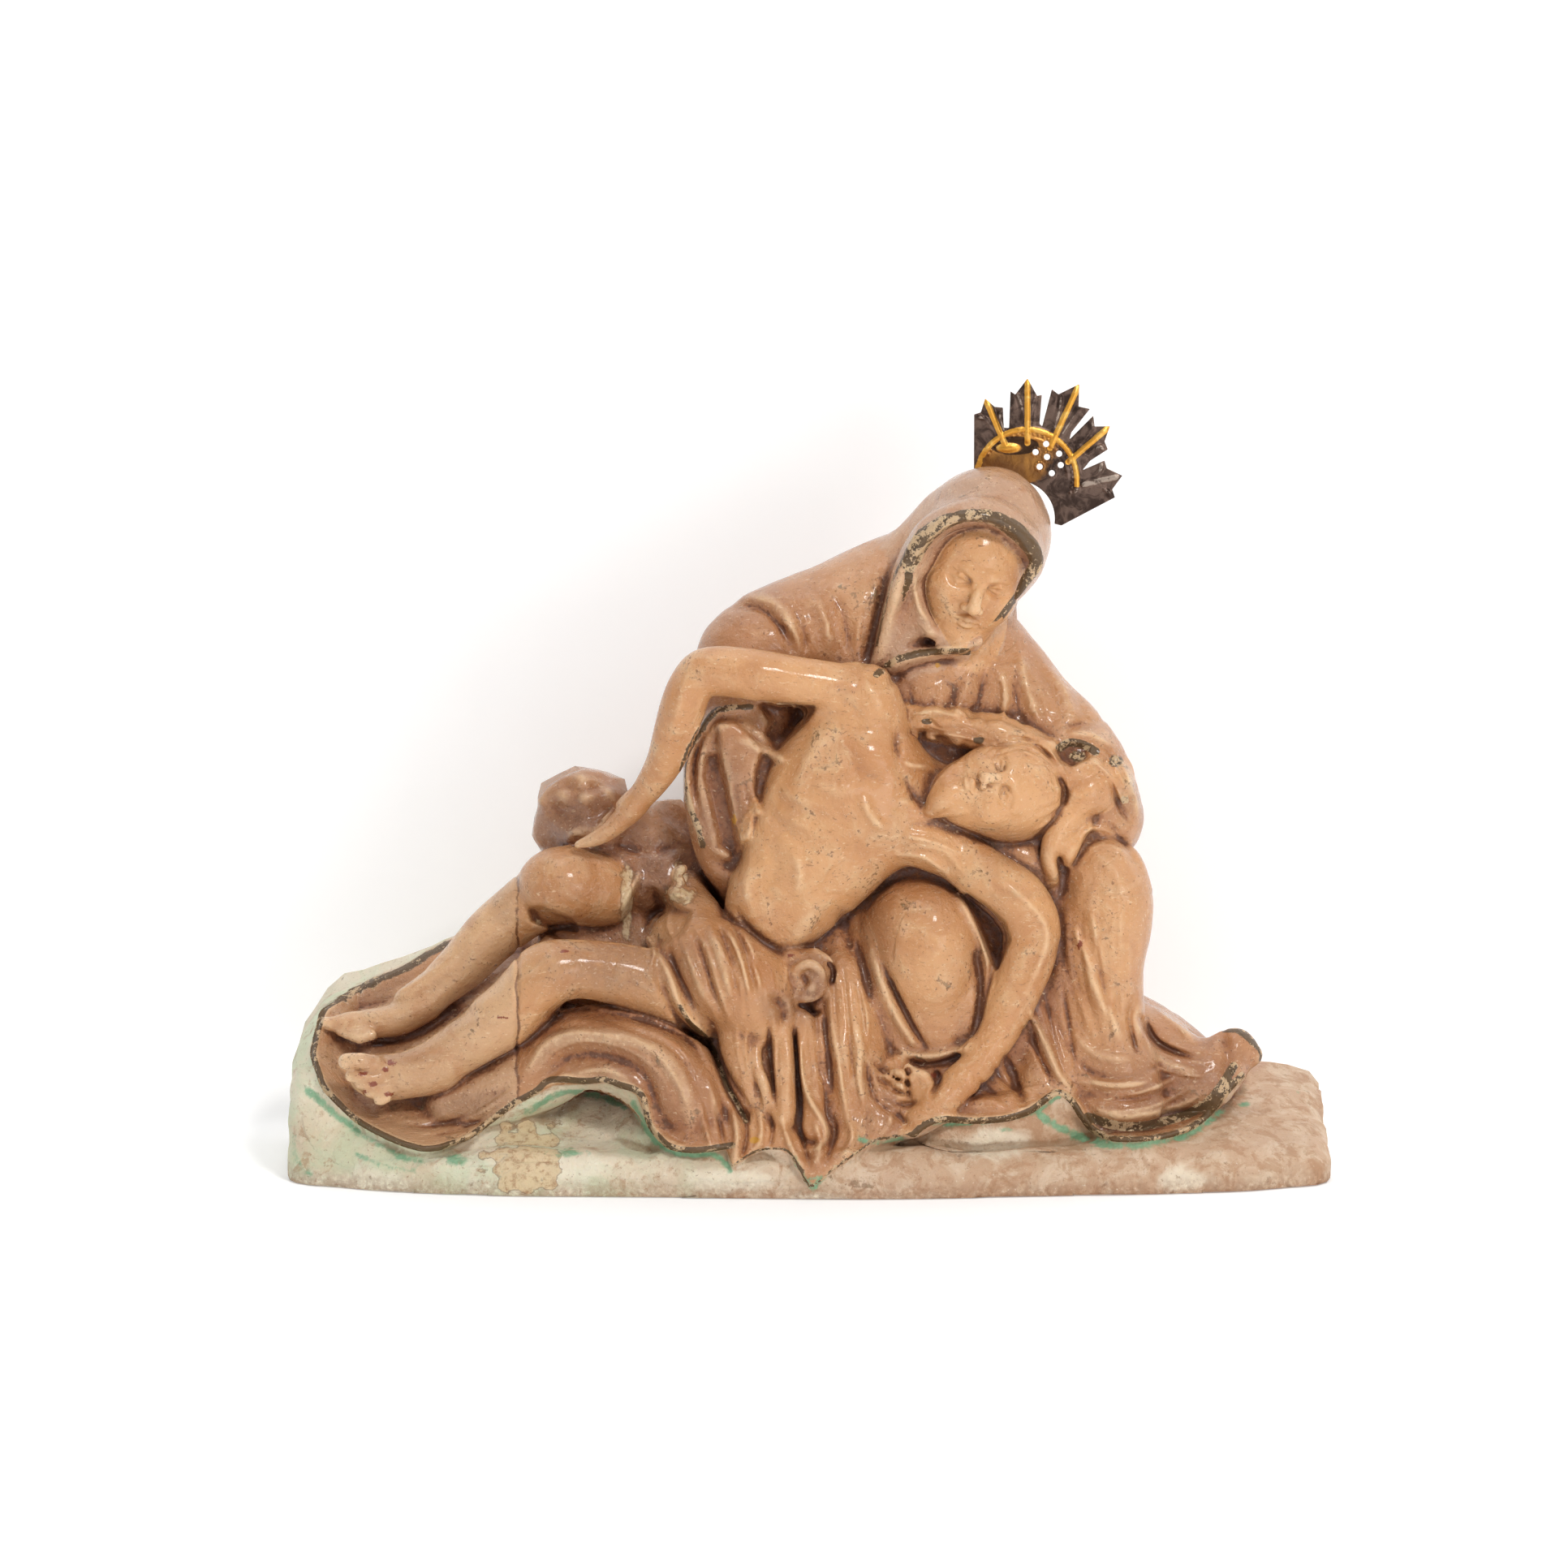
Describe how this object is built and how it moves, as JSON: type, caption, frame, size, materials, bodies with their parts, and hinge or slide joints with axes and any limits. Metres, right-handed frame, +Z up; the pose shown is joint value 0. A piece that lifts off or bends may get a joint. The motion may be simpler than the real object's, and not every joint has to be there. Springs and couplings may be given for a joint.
{
  "type": "pieta statue",
  "caption": "Small carved and painted stone pieta on its own uneven base: a veiled seated figure holds a reclining one, with a thin metal half-halo behind the veil.",
  "frame": {"origin": "middle of the bounding box, on the flat underside", "axes": "+X along the base to the right in front view, -Y to the front, +Z up"},
  "size_m": [0.2206, 0.0784, 0.1674],
  "materials": {
    "stone": "waxy honey-tan alabaster with worn paint and brown dirt in the hollows",
    "gilt_silver": "part-gilt silver sheet, darkened between the rays"
  },
  "bodies": {
    "root": {"carving": "stone", "halo": "gilt_silver"}
  },
  "joints": []
}
